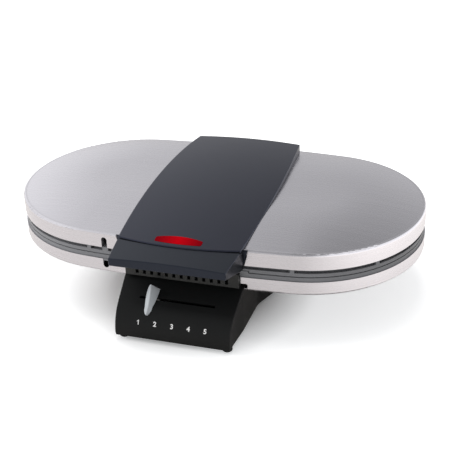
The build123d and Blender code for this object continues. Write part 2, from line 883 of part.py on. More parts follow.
def panel_points(high):
    """Start, middle and end of the panel's arc, then its slope's end at height high, in side view."""
    front = base_front_y
    centre = (front + panel_arc_radius, z_base + panel_arc_start)
    slope = math.radians(panel_slope)
    spots = []
    for turn in (0, (math.pi / 2 - slope) / 2, math.pi / 2 - slope):
        back = panel_arc_radius * math.cos(turn)
        rise = panel_arc_radius * math.sin(turn)
        spots.append((centre[0] - back, centre[1] + rise))
    end = spots[-1]
    top = (end[0] + (high - end[1]) / math.tan(slope), high)
    return spots, top


def base_form(grow, high):
    """Solid under height high and behind the panel's surface, grown outward, across the whole width."""
    spots, top = panel_points(high)
    start = spots[0]
    edges = [
        Line((0, start[0], -reach), (0, *start)),
        ThreePointArc(*[(0, *p) for p in spots]),
        Line((0, *spots[-1]), (0, *top)),
        Line((0, *top), (0, reach, top[1])),
        Line((0, reach, top[1]), (0, reach, -reach)),
        Line((0, reach, -reach), (0, start[0], -reach)),
    ]
    face = closed(edges)
    if grow:
        face = offset(face, amount=grow, kind=Kind.INTERSECTION)
    return extrude(face, reach, dir=(1, 0, 0), both=True)


def panel_frame(y):
    """Plane on the sloping panel at y, its Z outward and its Y up the slope."""
    top = panel_points(z_lower_steel)[1]
    slope = math.radians(panel_slope)
    z = top[1] - (top[0] - y) * math.tan(slope)
    outward = (0, -math.sin(slope), math.cos(slope))
    return Plane(origin=(0, y, z), x_dir=(1, 0, 0), z_dir=outward)


def make_base():
    form = base_form(0, z_lower_steel)
    outer = extrude(base_plan(0), z_lower_steel - z_housing, dir=(0, 0, 1)).moved(Location((0, 0, z_housing)))
    outer &= form
    corners = [edge for edge in outer.edges() if abs((edge @ 0.5).X) > base_front_half_width - base_edge
               and (edge @ 0.5).Y < base_neck_y + base_edge and (edge @ 0.5).Z > z_housing + base_edge]
    outer = fillet(corners, base_edge)
    tower_y = hinge_y + tower_rear
    outer += box(-tower_half_width, tower_half_width, base_rear_y - tower_root, tower_y,
                 z_housing, z_lower_steel)
    inner = extrude(base_plan(base_wall), z_lower_steel - base_wall, dir=(0, 0, 1))
    inner &= base_form(-base_wall, z_lower_steel)
    inner += box(-tower_half_width + base_wall, tower_half_width - base_wall, base_rear_y - tower_root,
                 tower_y - base_wall, 0, z_lower_steel - base_wall)
    housing = outer - inner
    plinth_top = z_lower_steel + plinth_height
    plinth = box(-window_left + fit_gap, base_neck_half_width, -reach, plinth_rear_y,
                 z_lower_steel, plinth_top)
    plinth &= base_form(0, plinth_top)
    front_corners = [edge for edge in plinth.edges().filter_by(GeomType.LINE)
                     if abs(edge.tangent_at(0.5).Y) > 0.5 and edge.length < plinth_depth
                     and abs(edge.tangent_at(0.5).Z) > 0.1]
    housing += fillet(front_corners, base_edge)
    half = grille_half_width - plinth_seat_margin
    housing += box(-half, half, grille_rear_y, plinth_rear_y, z_lower_steel, plinth_top)
    wall_y = half_depth + tower_gap
    tower = box(-tower_half_width, tower_half_width, wall_y, tower_y,
                z_lower_steel - overrun, hinge_z - knuckle_radius - tower_gap)
    for side in (-1, 1):
        centre_x = side * (ear_out - ear_width / 2)
        ear = rod_along("X", ear_radius, (centre_x, hinge_y, hinge_z), ear_width)
        ear += box(centre_x - ear_width / 2, centre_x + ear_width / 2, wall_y, tower_y,
                   z_lower_steel, hinge_z)
        tower += ear - box(-reach, reach, -reach, wall_y, 0, z_dome)
    housing += tower
    housing -= rod_along("X", hinge_pin_radius + running_gap, (0, hinge_y, hinge_z), 3 * tower_half_width)
    slot_plane = panel_frame(slot_y)
    slot = slot_plane * Box(2 * slot_half_length, slot_width, 6 * base_wall)
    housing -= slot
    for x, y in base_screw_places:
        housing += rod(boss_radius, x, y, z_housing, z_lower_steel - overrun)
        housing -= screw_hole(x, y, z_housing - overrun, z_housing + screw_bite)
    for x, y in shell_screw_places:
        housing -= screw_hole(x, y, z_lower_steel - 2 * base_wall, z_lower_steel + overrun)
    housing -= rod(lead_hole_radius, 0, lead_hole_y, z_lower_steel - 2 * base_wall, z_lower_steel + overrun)
    housing -= rod_along("Y", gland_barrel + screw_hole_gap, (gland_x, base_rear_y, gland_z), rear_drill)
    return housing


def make_cover():
    cover = extrude(base_plan(cover_inset), cover_height, dir=(0, 0, 1)).moved(Location((0, 0, z_base)))
    tower_y = hinge_y + tower_rear
    cover += box(-tower_half_width + cover_inset, tower_half_width - cover_inset, base_rear_y - tower_root,
                 tower_y - cover_inset, z_base, z_base + cover_height)
    for x, y in foot_places:
        cover -= rod(foot_stem_radius, x, y, z_base - overrun, z_base + cover_height + overrun)
    for x, y in base_screw_places:
        cover -= screw_hole(x, y, z_base - overrun, z_base + cover_height + overrun)
    return cover


def make_foot(x, y):
    foot = rod(foot_radius, x, y, 0, z_base)
    foot = chamfer(foot.edges().group_by(Axis.Z)[0], foot_edge)
    return foot + rod(foot_stem_radius, x, y, z_base, z_base + cover_height)


def make_grille():
    low = z_lower_steel + grille_bottom
    high = z_lower_face - grille_top_gap
    half = grille_half_width
    block = box(-half, half, grille_front_y, grille_rear_y, low, high)
    block -= oval_block(ring_inset - grille_top_gap, z_lower_ring - grille_top_gap, z_rim)
    start = -(grille_count - 1) / 2 * grille_pitch
    for k in range(grille_count):
        x = start + k * grille_pitch
        groove_low = z_lower_steel + groove_bottom
        block -= box(x - groove_width / 2, x + groove_width / 2, grille_front_y - overrun,
                     grille_front_y + groove_depth, groove_low, groove_low + groove_height)
    return block


# Hinge


def make_hinge_arm():
    plate = box(-arm_half_width, arm_half_width, half_depth / 2, half_depth + arm_thickness, hinge_z, arm_top)
    knuckle = rod_along("X", knuckle_radius, (0, hinge_y, hinge_z), 2 * arm_half_width)
    plate = fillet(plate.edges().filter_by(Axis.Y).group_by(Axis.Z)[-1], arm_corner)
    arm = plate - oval_block(0, 0, 2 * z_dome)
    arm += knuckle
    arm -= rod_along("X", hinge_pin_radius + running_gap, (0, hinge_y, hinge_z), 3 * arm_half_width)
    for x in (-arm_screw_x, arm_screw_x):
        arm -= rod_along("Y", screw_radius + screw_hole_gap, (x, half_depth, arm_screw_z), rear_drill)
    return arm


def make_backing_plate():
    low = arm_screw_z - backing_height / 2
    plate = oval_band(sheet, sheet + backing_sheet, low, low + backing_height)
    plate &= box(-backing_half_width, backing_half_width, 0, reach, 0, z_dome)
    for x in (-arm_screw_x, arm_screw_x):
        plate -= rod_along("Y", screw_radius + screw_hole_gap, (x, half_depth, arm_screw_z), rear_drill)
    return plate


def make_arm_screw(x):
    face = half_depth + arm_thickness
    head = rod_along("Y", screw_head, (x, face + screw_head_height / 2, arm_screw_z), screw_head_height)
    length = arm_thickness + sheet + backing_sheet + arm_screw_nip
    recess = Pos(x, face + screw_head_height, arm_screw_z) * Rot(90, 0, 0) * drive_cross()
    return head + rod_along("Y", screw_radius, (x, face - length / 2, arm_screw_z), length) - recess


# Browning slider and thermostat


def make_knob():
    """Ridged pointer: widest and highest at its upper end, falling to a round tip."""
    frame = panel_frame(slot_y)
    leaning = frame.rotated((knob_lean, 0, 0))
    sections = []
    for step in range(knob_steps + 1):
        turn = math.pi / 2 * step / knob_steps
        share = math.sin(turn)
        half = max(knob_half_width * math.cos(turn), knob_tip_half_width)
        top = knob_tip_height + (knob_height - knob_tip_height) * (1 - share) ** 2
        ridge = min(knob_ridge_width, half) / 2
        origin = frame.from_local_coords((0, knob_top_offset - share * knob_length, 0))
        place = Plane(origin=origin, x_dir=(1, 0, 0), z_dir=leaning.y_dir * -1)
        points = [(-half, -knob_root), (-half, 0), (-ridge, top), (ridge, top), (half, 0), (half, -knob_root)]
        sections.append(place * closed([Line(a, b) for a, b in zip(points, points[1:] + points[:1])]))
    knob = loft(sections, ruled=True)
    return Pos(slider_rest_x, 0, 0) * knob - base_form(slider_gap, z_lower_steel)


def make_carriage():
    frame = panel_frame(slot_y)
    depth = base_wall + slider_gap
    plate_mid = -depth - carriage_sheet / 2
    plate = frame * Pos(slider_rest_x, 0, plate_mid) * Box(carriage_width, carriage_height, carriage_sheet)
    stem_box = Box(stem_width, slot_width - 2 * slider_gap, depth + slider_gap)
    stem = frame * Pos(slider_rest_x, 0, (slider_gap - depth) / 2) * stem_box
    pin = rod(pin_radius, slider_rest_x, pin_y, arm_plane - pin_overhang, z_lower_steel)
    return plate + stem + (pin & base_form(plate_mid, z_lower_steel))


def make_arm():
    """Forked lever at the angle it has when the slider rests."""
    low = arm_plane
    high = arm_plane + fork_thickness
    half = pin_radius + fork_gap
    bar = box(-half - fork_wall, half + fork_wall, -fork_reach, 0, low, high)
    bar += rod(hub_radius, 0, 0, low, high)
    bar -= box(-half, half, -fork_reach - overrun, -fork_start, low - overrun, high + overrun)
    bar += rod(spindle_radius, 0, 0, low - spindle_length, high)
    turn = arm_turn_share * slider_rest_x / pivot_distance
    return Pos(0, pivot_y, 0) * Rot(0, 0, math.degrees(turn)) * bar


def make_thermostat():
    top = arm_plane - slider_gap
    body = box(-thermostat_width / 2, thermostat_width / 2, pivot_y - thermostat_depth / 2,
               pivot_y + thermostat_depth / 2, z_base + cover_height, top)
    return body - rod(spindle_radius + running_gap, 0, pivot_y,
                      arm_plane - spindle_length - overrun, top + overrun)


def make_terminal_block():
    wide, deep, tall = terminal_size
    x, y = terminal_place
    floor = z_base + cover_height
    block = box(x - wide / 2, x + wide / 2, y - deep / 2, y + deep / 2, floor, floor + tall)
    for pole in (-1, 0, 1):
        block -= rod(terminal_hole, x + pole * wide / 3, y, floor + tall / 2, floor + tall + overrun)
    return block


def make_fuse():
    body = rod_along("X", fuse_radius, (0, fuse_y, z_lower_floor + fuse_radius + clip_sheet), fuse_length)
    side = fuse_radius + clip_sheet
    clip = box(-clip_half_width, clip_half_width, fuse_y - side, fuse_y + side,
               z_lower_floor, z_lower_floor + side)
    return body + clip


def make_gland():
    outside = base_rear_y + gland_flange_thickness
    barrel_y = outside - gland_length / 2
    gland = rod_along("Y", gland_barrel, (gland_x, barrel_y, gland_z), gland_length)
    gland += rod_along("Y", gland_flange, (gland_x, base_rear_y + gland_flange_thickness / 2, gland_z),
                       gland_flange_thickness)
    return gland - rod_along("Y", gland_bore, (gland_x, barrel_y, gland_z), 2 * gland_length)


# Places that several pieces share
ledge_middle = ring_inset + ring_width + ledge_width / 2
corner_x = cavity_x + (end_radius - ledge_middle) * math.cos(math.radians(45))
corner_y = (end_radius - ledge_middle) * math.sin(math.radians(45))
plate_screw_places = [(sx * corner_x, sy * corner_y) for sx in (-1, 1) for sy in (-1, 1)]
plate_screw_places += [(0, half_depth - ledge_middle), (0, -half_depth + ledge_middle)]
handle_screw_y = -half_depth + ledge_middle
bridge_screw_places = [(sx * bridge_screw_x, sy * bridge_screw_y) for sx in (-1, 1) for sy in (-1, 1)]
base_screw_x = base_neck_half_width - base_screw_side
base_screw_y = -half_depth + base_screw_set
rear_screw_x = base_rear_half_width - rear_screw_side
rear_screw_y = base_rear_y - rear_screw_set
base_screw_places = [(-base_screw_x, base_screw_y), (base_screw_x, base_screw_y)]
base_screw_places += [(-rear_screw_x, rear_screw_y), (rear_screw_x, rear_screw_y)]
shell_screw_places = [(sx * shell_screw_x, sy * shell_screw_y) for sx in (-1, 1) for sy in (-1, 1)]
foot_x = base_front_half_width - foot_side_margin
foot_front_y = base_front_y + foot_front_margin
rear_foot_x = base_rear_half_width - rear_foot_margin
rear_foot_y = base_rear_y - rear_foot_margin
foot_places = [(-foot_x, foot_front_y), (foot_x, foot_front_y)]
foot_places += [(-rear_foot_x, rear_foot_y), (rear_foot_x, rear_foot_y)]


# All pieces, each under its own name
lid_form = lid_outside()
upper_plate = make_upper_plate(waffle_space())
heater_z = z_upper_face + plate_back + heater_tube / 2 + running_gap
upper_heaters = [make_heater(x, heater_z) for x in (-cavity_x, cavity_x)]
upper_tray_top = heater_z + heater_tube / 2 + reflector_air
upper_tray_wall = upper_tray_top - z_upper_face - plate_back
plate_screw_z = z_upper_face + screw_sink
plate_screw_length = upper_ledge_z - z_upper_face + ledge_height - screw_sink
upper_plate_screws = [screw(x, y, plate_screw_z, True, plate_screw_length) for x, y in plate_screw_places]
cover_screw_length = screw_head_height + cover_height + screw_bite
shell_screw_z = z_lower_steel - base_wall - screw_head_height
shell_screw_length = screw_head_height + base_wall + lower_floor + screw_nip
bridge_screw_z = z_dome - sheet - screw_head_height

pieces = {
    "base_housing": make_base(),
    "base_bottom_cover": make_cover(),
    "rubber_feet": [make_foot(x, y) for x, y in foot_places],
    "base_screws": [screw(x, y, z_base - screw_head_height, True, cover_screw_length)
                    for x, y in base_screw_places],
    "lower_shell": make_lower_shell(),
    "shell_screws": [screw(x, y, shell_screw_z, True, shell_screw_length) for x, y in shell_screw_places],
    "lower_ring": make_lower_ring(),
    "lower_baking_plate": flipped(upper_plate),
    "lower_plate_screws": [flipped(item) for item in upper_plate_screws],
    "lower_heating_elements": [flipped(item) for item in upper_heaters],
    "lower_reflectors": [make_reflector(x, z_lower_floor, lower_reflector_wall, True)
                         for x in (-cavity_x, cavity_x)],
    "front_grille": make_grille(),
    "hinge_pin": rod_along("X", hinge_pin_radius, (0, hinge_y, hinge_z), 2 * (arm_half_width + ear_width)),
    "thermostat": make_thermostat(),
    "terminal_block": make_terminal_block(),
    "thermal_fuse": make_fuse(),
    "cord_gland": make_gland(),
    "slider_knob": make_knob(),
    "slider_carriage": make_carriage(),
    "thermostat_arm": make_arm(),
    "upper_shell": make_upper_shell(lid_form),
    "upper_ring": make_upper_ring(),
    "upper_baking_plate": upper_plate,
    "upper_plate_screws": upper_plate_screws,
    "upper_heating_elements": upper_heaters,
    "upper_reflectors": [make_reflector(x, upper_tray_top, upper_tray_wall, False)
                         for x in (-cavity_x, cavity_x)],
    "bridge_cover": make_bridge(lid_form),
    "bridge_screws": [screw(x, y, bridge_screw_z, True, screw_head_height + sheet + screw_bite)
                      for x, y in bridge_screw_places],
    "handle": make_handle(),
    "handle_screws": [screw(x, handle_screw_y, upper_ledge_z, True, ledge_height + screw_bite)
                      for x in (-handle_screw_x, handle_screw_x)],
    "lamp_lens": make_lens(),
    "indicator_lamp": make_lamp(),
    "lamp_holder": make_lamp_holder(),
    "lid_hinge_arm": make_hinge_arm(),
    "hinge_backing_plate": make_backing_plate(),
    "hinge_arm_screws": [make_arm_screw(x) for x in (-arm_screw_x, arm_screw_x)],
}

groups = {}
for name, shape in pieces.items():
    items = shape if isinstance(shape, list) else [shape]
    groups[name] = Compound(children=[solid for item in items for solid in item.solids()], label=name)

# The whole is moved so that the middle of its box stands on the origin
solids = [solid for group in groups.values() for solid in group.solids()]
whole = Compound(children=[Compound([solid]) for solid in solids]).bounding_box()
shift_y = -(whole.min.Y + whole.max.Y) / 2
shift = Pos(0, shift_y, 0)
print(f"moved by {shift_y:.4f} along Y")
for name, group in groups.items():
    export_step(shift * group, f"parts/{name}.step")
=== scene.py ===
"""Double waffle iron: finishes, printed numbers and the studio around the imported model."""

import math

import bmesh
import bpy
from mathutils import Matrix, Vector


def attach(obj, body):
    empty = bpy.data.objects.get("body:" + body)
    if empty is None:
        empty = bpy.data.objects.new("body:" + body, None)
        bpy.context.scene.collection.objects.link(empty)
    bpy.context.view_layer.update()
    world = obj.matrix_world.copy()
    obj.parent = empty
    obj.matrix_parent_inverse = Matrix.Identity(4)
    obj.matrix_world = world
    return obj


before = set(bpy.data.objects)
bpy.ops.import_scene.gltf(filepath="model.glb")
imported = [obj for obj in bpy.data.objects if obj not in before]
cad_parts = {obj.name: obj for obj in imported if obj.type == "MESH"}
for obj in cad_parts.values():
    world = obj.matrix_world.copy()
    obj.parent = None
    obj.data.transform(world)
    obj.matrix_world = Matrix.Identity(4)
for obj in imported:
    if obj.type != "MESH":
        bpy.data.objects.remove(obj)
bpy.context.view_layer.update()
millimetre = 0.001


# Camera, fitted to the outlines of the photograph

camera_azimuth = math.radians(19.09)
camera_elevation = math.radians(27.48)
camera_roll = math.radians(-2.48)
camera_distance = 1.09687
camera_target = Vector((0.00295, 0.01688, 0.05))
camera_lens = 83.78


def place_camera():
    """Camera at the photograph's place, turned a little about its own line of sight."""
    level = math.cos(camera_elevation)
    back = Vector((math.sin(camera_azimuth) * level, -math.cos(camera_azimuth) * level, math.sin(camera_elevation)))
    right = Vector((math.cos(camera_azimuth), math.sin(camera_azimuth), 0))
    up = back.cross(right)
    turned_right = right * math.cos(camera_roll) + up * math.sin(camera_roll)
    turned_up = up * math.cos(camera_roll) - right * math.sin(camera_roll)
    camera = bpy.data.objects.new("camera", bpy.data.cameras.new("camera"))
    bpy.context.scene.collection.objects.link(camera)
    camera.data.sensor_width = 36
    camera.data.lens = camera_lens
    camera.data.clip_start = 0.05
    camera.data.clip_end = 50
    turn = Matrix((turned_right, turned_up, back)).transposed().to_4x4()
    camera.matrix_world = Matrix.Translation(camera_target + back * camera_distance) @ turn
    bpy.context.scene.camera = camera


# Colours and shader building


def tone(red, green, blue):
    """A screen colour of 0 to 255 as a linear colour."""
    linear = []
    for part in (red, green, blue):
        share = part / 255
        linear.append(share / 12.92 if share <= 0.04045 else ((share + 0.055) / 1.055) ** 2.4)
    return (*linear, 1)


def add(tree, kind, inputs=None, **settings):
    """New shader node with its settings and inputs; an input may be a value or another node's output."""
    made = tree.nodes.new("ShaderNode" + kind)
    for name, value in settings.items():
        setattr(made, name, value)
    for name, value in (inputs or {}).items():
        if isinstance(value, bpy.types.NodeSocket):
            tree.links.new(value, made.inputs[name])
        else:
            made.inputs[name].default_value = value
    return made


def maths(tree, operation, first, second=0.0):
    """Result of one sum on two values or outputs."""
    return add(tree, "Math", {0: first, 1: second}, operation=operation).outputs[0]


def between(tree, share, low, high, start=0.0, full=1.0):
    """Value that runs from low to high as share runs from start to full."""
    ends = {"Value": share, "From Min": start, "From Max": full, "To Min": low, "To Max": high}
    return add(tree, "MapRange", ends).outputs[0]


def blend_colours(tree, share, first, second):
    """Colour that runs from first to second as share runs from 0 to 1."""
    made = add(tree, "Mix", data_type="RGBA")
    for socket, value in zip((made.inputs[0], made.inputs[6], made.inputs[7]), (share, first, second)):
        if isinstance(value, bpy.types.NodeSocket):
            tree.links.new(value, socket)
        else:
            socket.default_value = value
    return made.outputs[2]


def effect(name, inputs, outputs):
    """Empty shader group with named number inputs and outputs, and its two end nodes."""
    group = bpy.data.node_groups.new(name, "ShaderNodeTree")
    for label, value in inputs.items():
        group.interface.new_socket(label, in_out="INPUT", socket_type="NodeSocketFloat").default_value = value
    for label in outputs:
        group.interface.new_socket(label, in_out="OUTPUT", socket_type="NodeSocketFloat")
    return group, group.nodes.new("NodeGroupInput"), group.nodes.new("NodeGroupOutput")


def make_brushing():
    """Fine lines along the iron's length: around upright walls and along X on level faces."""
    group, start, end = effect("brushing", {"Fineness": 900.0, "Run": 9.0}, ("Lines", "Cloud"))
    normal = add(group, "SeparateXYZ", {0: add(group, "TexCoord").outputs["Normal"]})
    level = maths(group, "GREATER_THAN", maths(group, "ABSOLUTE", normal.outputs[2]), 0.6)
    place = add(group, "SeparateXYZ", {0: add(group, "TexCoord").outputs["Object"]})
    across = add(group, "Mix", {0: level, 2: start.outputs["Run"], 3: start.outputs["Fineness"]}).outputs[0]
    upward = add(group, "Mix", {0: level, 2: start.outputs["Fineness"], 3: start.outputs["Run"]}).outputs[0]
    stretched = add(group, "CombineXYZ", {
        0: maths(group, "MULTIPLY", place.outputs[0], start.outputs["Run"]),
        1: maths(group, "MULTIPLY", place.outputs[1], across),
        2: maths(group, "MULTIPLY", place.outputs[2], upward),
    })
    lines = add(group, "TexNoise", {"Vector": stretched.outputs[0], "Scale": 1.0, "Detail": 3.0, "Roughness": 0.7})
    cloud = add(group, "TexNoise", {"Vector": add(group, "TexCoord").outputs["Object"], "Scale": 9.0, "Detail": 1.0})
    group.links.new(lines.outputs[0], end.inputs["Lines"])
    group.links.new(cloud.outputs[0], end.inputs["Cloud"])
    return group


def make_moulded_grain():
    """Fine texture of a moulding tool, and a slow variation from handling."""
    group, start, end = effect("moulded_grain", {"Grain": 3200.0, "Patch": 22.0}, ("Height", "Handling"))
    place = add(group, "TexCoord").outputs["Object"]
    fine = add(group, "TexNoise", {"Vector": place, "Scale": start.outputs["Grain"], "Detail": 2.0})
    slow = add(group, "TexNoise", {"Vector": place, "Scale": start.outputs["Patch"], "Detail": 4.0})
    group.links.new(fine.outputs[0], end.inputs["Height"])
    group.links.new(slow.outputs[0], end.inputs["Handling"])
    return group


brushing = make_brushing()
moulded_grain = make_moulded_grain()


def place_effect(tree, group, **values):
    """One use of a shared effect with its own values."""
    made = tree.nodes.new("ShaderNodeGroup")
    made.node_tree = group
    for name, value in values.items():
        made.inputs[name].default_value = value
    return made


def new_finish(name, **plain):
    """Material with a Principled shader; plain values go straight on its sockets."""
    material = bpy.data.materials.new(name)
    material.use_nodes = True
    shader = material.node_tree.nodes["Principled BSDF"]
    for socket, value in plain.items():
        shader.inputs[socket.replace("_", " ")].default_value = value
    return material, material.node_tree, shader


def steel_finish(name, dark, bright, rough, depth, fineness=900.0):
    """Metal brushed along its length."""
    material, tree, shader = new_finish(name, Metallic=1.0)
    marks = place_effect(tree, brushing, Fineness=fineness)
    lines = between(tree, marks.outputs["Lines"], 0.0, 1.0, start=0.3, full=0.7)
    uneven = maths(tree, "ADD", lines, between(tree, marks.outputs["Cloud"], -0.3, 0.3))
    tree.links.new(blend_colours(tree, uneven, dark, bright), shader.inputs["Base Color"])
    tree.links.new(between(tree, lines, rough - 0.02, rough + 0.02), shader.inputs["Roughness"])
    bump = add(tree, "Bump", {"Height": marks.outputs["Lines"], "Strength": depth, "Distance": 0.0001})
    tree.links.new(bump.outputs[0], shader.inputs["Normal"])
    return material


def plastic_finish(name, colour, rough, level=0.5, grain=0.12, size=3200.0, spread=0.06, tint=(1, 1, 1, 1)):
    """Moulded plastic or paint with a fine grain and slightly uneven gloss."""
    material, tree, shader = new_finish(name, Specular_Tint=tint)
    shader.inputs["Specular IOR Level"].default_value = level
    marks = place_effect(tree, moulded_grain, Grain=size)
    lighter = tuple(min(1.0, part * 1.25 + 0.001) for part in colour[:3]) + (1,)
    tree.links.new(blend_colours(tree, marks.outputs["Handling"], colour, lighter), shader.inputs["Base Color"])
    uneven = between(tree, marks.outputs["Handling"], rough - spread, rough + spread)
    tree.links.new(uneven, shader.inputs["Roughness"])
    bump = add(tree, "Bump", {"Height": marks.outputs["Height"], "Strength": grain, "Distance": 0.0001})
    tree.links.new(bump.outputs[0], shader.inputs["Normal"])
    return material


def coated_casting():
    """Dark non-stick coating: fine light flecks in a satin film over cast metal."""
    material, tree, shader = new_finish("coated_casting", Metallic=0.25)
    marks = place_effect(tree, moulded_grain, Grain=5200.0, Patch=30.0)
    fleck = between(tree, marks.outputs["Height"], 0.0, 1.0, start=0.62, full=0.74)
    colour = blend_colours(tree, fleck, tone(47, 47, 49), tone(92, 92, 96))
    tree.links.new(colour, shader.inputs["Base Color"])
    tree.links.new(between(tree, marks.outputs["Handling"], 0.36, 0.52), shader.inputs["Roughness"])
    bump = add(tree, "Bump", {"Height": marks.outputs["Height"], "Strength": 0.15, "Distance": 0.0001})
    tree.links.new(bump.outputs[0], shader.inputs["Normal"])
    return material


glow_half_width = 21.0 * millimetre


def red_window():
    """Clear red moulding with the lamp's glow behind it."""
    material, tree, shader = new_finish("red_window", Roughness=0.2, IOR=1.49)
    shader.inputs["Specular IOR Level"].default_value = 0.01
    place = add(tree, "SeparateXYZ", {0: add(tree, "TexCoord").outputs["Object"]})
    glow = between(tree, maths(tree, "ABSOLUTE", place.outputs[0]), 1.0, 0.0, start=0.0, full=glow_half_width)
    colour = blend_colours(tree, glow, tone(112, 0, 10), tone(166, 0, 12))
    tree.links.new(colour, shader.inputs["Base Color"])
    tree.links.new(colour, shader.inputs["Emission Color"])
    shader.inputs["Emission Strength"].default_value = 0.25
    return material


def clear_glass():
    """Glass bulb of the indicator lamp, a little amber from its filament."""
    material, tree, shader = new_finish("lamp_bulb", Roughness=0.05, IOR=1.5, Transmission_Weight=0.9)
    marks = place_effect(tree, moulded_grain, Patch=90.0)
    colour = blend_colours(tree, marks.outputs["Handling"], (0.95, 0.8, 0.6, 1), (1, 0.92, 0.8, 1))
    tree.links.new(colour, shader.inputs["Base Color"])
    return material


finishes = {
    "body_steel": steel_finish("body_steel", (0.618, 0.607, 0.64, 1), (0.662, 0.65, 0.682, 1), 0.27, 0.06),
    "screw_steel": steel_finish("screw_steel", (0.42, 0.42, 0.43, 1), (0.6, 0.6, 0.6, 1), 0.32, 0.3, 4200.0),
    "heater_steel": steel_finish("heater_steel", (0.16, 0.13, 0.11, 1), (0.3, 0.26, 0.23, 1), 0.45, 0.2),
    "reflector_sheet": steel_finish("reflector_sheet", (0.75, 0.75, 0.76, 1), (0.85, 0.85, 0.86, 1), 0.2, 0.08),
    # The cover's and handle's reflections are tinted blue: a painted blue cast in their reflections
    "cover_plastic": plastic_finish("cover_plastic", (0.0115, 0.012, 0.0145, 1), 0.33, level=0.52, grain=0.06,
                                    spread=0.04, tint=(0.55, 0.62, 1, 1)),
    "handle_plastic": plastic_finish("handle_plastic", (0.0098, 0.0108, 0.0118, 1), 0.33, level=0.47, grain=0.06,
                                     spread=0.04, tint=(0.51, 0.6, 0.9, 1)),
    "stand_plastic": plastic_finish("stand_plastic", (0.0045, 0.005, 0.005, 1), 0.46, level=0.2),
    "grille_plastic": plastic_finish("grille_plastic", (0.016, 0.017, 0.0165, 1), 0.42, level=0.35),
    "ring_plastic": plastic_finish("ring_plastic", (0.19, 0.193, 0.203, 1), 0.5, level=0.35),
    "knob_plastic": plastic_finish("knob_plastic", (0.5, 0.53, 0.55, 1), 0.3, level=0.3, grain=0.05),
    "pale_moulding": plastic_finish("pale_moulding", (0.55, 0.52, 0.45, 1), 0.5),
    "brown_moulding": plastic_finish("brown_moulding", (0.12, 0.07, 0.04, 1), 0.42),
    "natural_moulding": plastic_finish("natural_moulding", (0.4, 0.39, 0.36, 1), 0.45),
    "foot_rubber": plastic_finish("foot_rubber", (0.012, 0.012, 0.012, 1), 0.8, level=0.25, grain=0.3, size=2200.0),
    "arm_paint": plastic_finish("arm_paint", (0.02, 0.02, 0.022, 1), 0.42, grain=0.2, size=1500.0),
    "number_print": plastic_finish("number_print", tone(226, 226, 224), 0.55, grain=0.03),
    "coated_casting": coated_casting(),
    "red_window": red_window(),
    "lamp_bulb": clear_glass(),
}

finish_of = {
    "body_steel": ("lower_shell", "upper_shell"),
    "screw_steel": ("base_screws", "shell_screws", "lower_plate_screws", "hinge_pin", "thermal_fuse",
                    "upper_plate_screws", "bridge_screws", "handle_screws", "hinge_backing_plate",
                    "hinge_arm_screws"),
    "heater_steel": ("lower_heating_elements", "upper_heating_elements"),
    "reflector_sheet": ("lower_reflectors", "upper_reflectors"),
    "cover_plastic": ("bridge_cover",),
    "handle_plastic": ("handle",),
    "stand_plastic": ("base_housing", "base_bottom_cover"),
    "grille_plastic": ("front_grille",),
    "ring_plastic": ("lower_ring", "upper_ring"),
    "knob_plastic": ("slider_knob",),
    "pale_moulding": ("terminal_block", "lamp_holder"),
    "brown_moulding": ("thermostat",),
    "natural_moulding": ("slider_carriage", "thermostat_arm"),
    "foot_rubber": ("rubber_feet", "cord_gland"),
    "arm_paint": ("lid_hinge_arm",),
    "coated_casting": ("lower_baking_plate", "upper_baking_plate"),
    "red_window": ("lamp_lens",),
    "lamp_bulb": ("indicator_lamp",),
}


def dress_nodes():
    """Give every carried node its finish."""
    for finish, names in finish_of.items():
        for name in names:
            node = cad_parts[name]
            node.data.materials.clear()
            node.data.materials.append(finishes[finish])


# Numbers printed on the panel, bent round its arc

panel_front_y = -142.9 * millimetre
panel_arc_radius = 31.0 * millimetre
panel_arc_z = 8.0 * millimetre
number_height = 4.4 * millimetre
number_z = 21.5 * millimetre
number_thickness = 0.12 * millimetre
number_weight = 0.05 * number_height
one_outline = ((0.0, -0.53), (0.19, -0.53), (0.19, 0.53), (0.06, 0.53), (-0.05, 0.38), (-0.22, 0.29),
               (-0.22, 0.11), (0.0, 0.22))
number_places = {"1": -34.0, "2": -17.0, "3": 0.0, "4": 16.5, "5": 33.0}


def on_panel(across, along, lift):
    """Point on the panel's arc: across in x, along up the arc from the numbers' line, lift off its surface."""
    centre_y = panel_front_y + panel_arc_radius
    turn = math.asin((number_z - panel_arc_z) / panel_arc_radius) + along / panel_arc_radius
    reach = panel_arc_radius + lift
    return Vector((across, centre_y - reach * math.cos(turn), panel_arc_z + reach * math.sin(turn)))


def flagged_one():
    """Outline of a 1 with a flag."""
    outline = bpy.data.curves.new("digit_1", "CURVE")
    outline.dimensions = "2D"
    outline.fill_mode = "BOTH"
    line = outline.splines.new("POLY")
    line.points.add(len(one_outline) - 1)
    for point, (across, up) in zip(line.points, one_outline):
        point.co = (across * number_height, up * number_height, 0, 1)
    line.use_cyclic_u = True
    return outline


def plain_digit(digit):
    """Outline of a digit in the plain built-in face, made bolder."""
    outline = bpy.data.curves.new("digit_" + digit, "FONT")
    outline.body = digit
    outline.align_x = "CENTER"
    outline.align_y = "CENTER"
    outline.size = number_height / 0.7
    outline.offset = number_weight
    return outline


